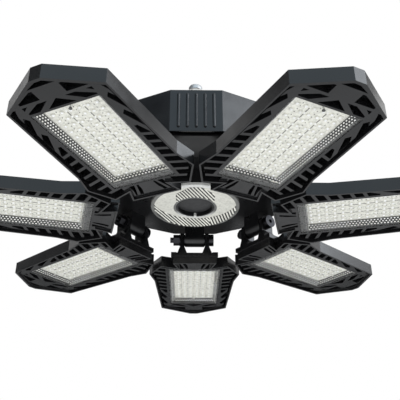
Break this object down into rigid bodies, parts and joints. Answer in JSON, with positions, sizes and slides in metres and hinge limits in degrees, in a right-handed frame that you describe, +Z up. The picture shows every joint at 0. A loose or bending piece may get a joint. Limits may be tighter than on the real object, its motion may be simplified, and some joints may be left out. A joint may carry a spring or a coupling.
{
  "type": "deformable garage light",
  "caption": "Ceiling light with hinged folding LED panels around a driver housing, a small ring lamp below and a screw base on top.",
  "frame": {"origin": "on the lamp axis, at the collar that the threaded shell of the screw base rises from", "axes": "+Z points up along the screw base, into the socket; +Y points along the first panel"},
  "size_m": [0.4756, 0.4637, 0.1774],
  "materials": {
    "panel_paint": "satin black powder coat on die-cast aluminium",
    "housing_paint": "satin black powder coat on aluminium",
    "casting_paint": "satin black powder coat on die-cast aluminium",
    "lens_plastic": "clear prismatic polycarbonate over white LED boards",
    "ring_plastic": "clear prismatic polycarbonate, frosted side wall",
    "led_white": "white solder mask on an aluminium board, with pale yellow LEDs",
    "black_plastic": "matt black heat-proof plastic",
    "nickel": "nickel-plated",
    "bright_steel": "zinc-plated",
    "dark_steel": "black oxide",
    "circuit_board": "green solder mask",
    "transformer_core": "dark ferrite with yellow tape",
    "capacitor_sleeve": "shrink sleeve"
  },
  "bodies": {
    "hub": {"driver_housing": "housing_paint", "hub_plate": "casting_paint", "top_cover": "housing_paint", "cover_screws": "bright_steel", "neck": "black_plastic", "screw_shell": "nickel", "insulator": "black_plastic", "contact": "nickel", "ring_body": "casting_paint", "ring_lens": "ring_plastic", "ring_led_board": "led_white", "ring_cap": "black_plastic", "ring_screws": "bright_steel", "driver_board": "circuit_board", "driver_screws": "bright_steel", "transformer": "transformer_core", "capacitors": "capacitor_sleeve"},
    "panel_1": {"panel_frame_1": "panel_paint", "panel_lens_1": "lens_plastic", "led_board_1": "led_white", "hinge_bolt_1": "dark_steel", "hinge_nut_1": "dark_steel", "hinge_washers_1": "dark_steel"},
    "panel_2": {"panel_frame_2": "panel_paint", "panel_lens_2": "lens_plastic", "led_board_2": "led_white", "hinge_bolt_2": "dark_steel", "hinge_nut_2": "dark_steel", "hinge_washers_2": "dark_steel"},
    "panel_3": {"panel_frame_3": "panel_paint", "panel_lens_3": "lens_plastic", "led_board_3": "led_white", "hinge_bolt_3": "dark_steel", "hinge_nut_3": "dark_steel", "hinge_washers_3": "dark_steel"},
    "panel_4": {"panel_frame_4": "panel_paint", "panel_lens_4": "lens_plastic", "led_board_4": "led_white", "hinge_bolt_4": "dark_steel", "hinge_nut_4": "dark_steel", "hinge_washers_4": "dark_steel"},
    "panel_5": {"panel_frame_5": "panel_paint", "panel_lens_5": "lens_plastic", "led_board_5": "led_white", "hinge_bolt_5": "dark_steel", "hinge_nut_5": "dark_steel", "hinge_washers_5": "dark_steel"},
    "panel_6": {"panel_frame_6": "panel_paint", "panel_lens_6": "lens_plastic", "led_board_6": "led_white", "hinge_bolt_6": "dark_steel", "hinge_nut_6": "dark_steel", "hinge_washers_6": "dark_steel"},
    "panel_7": {"panel_frame_7": "panel_paint", "panel_lens_7": "lens_plastic", "led_board_7": "led_white", "hinge_bolt_7": "dark_steel", "hinge_nut_7": "dark_steel", "hinge_washers_7": "dark_steel"}
  },
  "joints": [
    {"name": "panel_1_fold", "type": "hinge", "parent": "hub", "child": "panel_1", "pos_m": [0, 0.0833, -0.1202], "axis": [1, 0, 0], "range_deg": [-5, 80]},
    {"name": "panel_2_fold", "type": "hinge", "parent": "hub", "child": "panel_2", "pos_m": [-0.06513, 0.05194, -0.1202], "axis": [0.6235, 0.7818, 0], "range_deg": [-5, 80]},
    {"name": "panel_3_fold", "type": "hinge", "parent": "hub", "child": "panel_3", "pos_m": [-0.08121, -0.01854, -0.1202], "axis": [-0.2225, 0.9749, 0], "range_deg": [-5, 80]},
    {"name": "panel_4_fold", "type": "hinge", "parent": "hub", "child": "panel_4", "pos_m": [-0.03614, -0.07505, -0.1202], "axis": [-0.901, 0.4339, 0], "range_deg": [-5, 80]},
    {"name": "panel_5_fold", "type": "hinge", "parent": "hub", "child": "panel_5", "pos_m": [0.03614, -0.07505, -0.1202], "axis": [-0.901, -0.4339, 0], "range_deg": [-5, 80]},
    {"name": "panel_6_fold", "type": "hinge", "parent": "hub", "child": "panel_6", "pos_m": [0.08121, -0.01854, -0.1202], "axis": [-0.2225, -0.9749, 0], "range_deg": [-5, 80]},
    {"name": "panel_7_fold", "type": "hinge", "parent": "hub", "child": "panel_7", "pos_m": [0.06513, 0.05194, -0.1202], "axis": [0.6235, -0.7818, 0], "range_deg": [-5, 80]}
  ]
}
